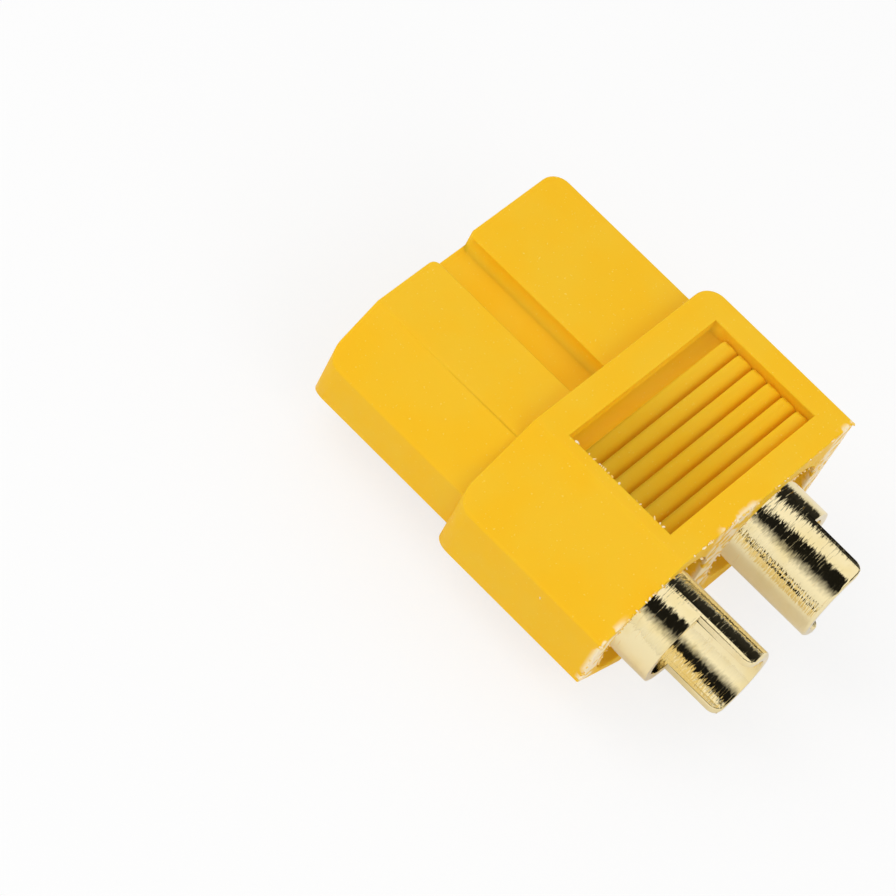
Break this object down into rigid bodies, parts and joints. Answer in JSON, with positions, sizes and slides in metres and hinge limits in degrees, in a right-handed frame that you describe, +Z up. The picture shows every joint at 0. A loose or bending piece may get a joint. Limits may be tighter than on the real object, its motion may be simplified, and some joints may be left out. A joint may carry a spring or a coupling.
{
  "type": "two-pole battery lead connector, socket half",
  "caption": "Moulded yellow connector half with chamfered polarised nose, ribbed grip panels, gold-plated pin sockets and half-cut solder cups at the rear.",
  "frame": {"origin": "middle of the bounding box's bottom face, under the grip block", "axes": "+X across the poles towards the square side, +Y along the lead towards the mating nose, +Z up from the broad face it lies on"},
  "size_m": [0.0152, 0.021, 0.008],
  "materials": {
    "yellow_nylon": "satin moulded nylon",
    "gold_plated_brass": "turned and gold-plated, polished"
  },
  "bodies": {
    "root": {"housing": "yellow_nylon", "contact_chamfered_side": "gold_plated_brass", "contact_square_side": "gold_plated_brass"}
  },
  "joints": []
}
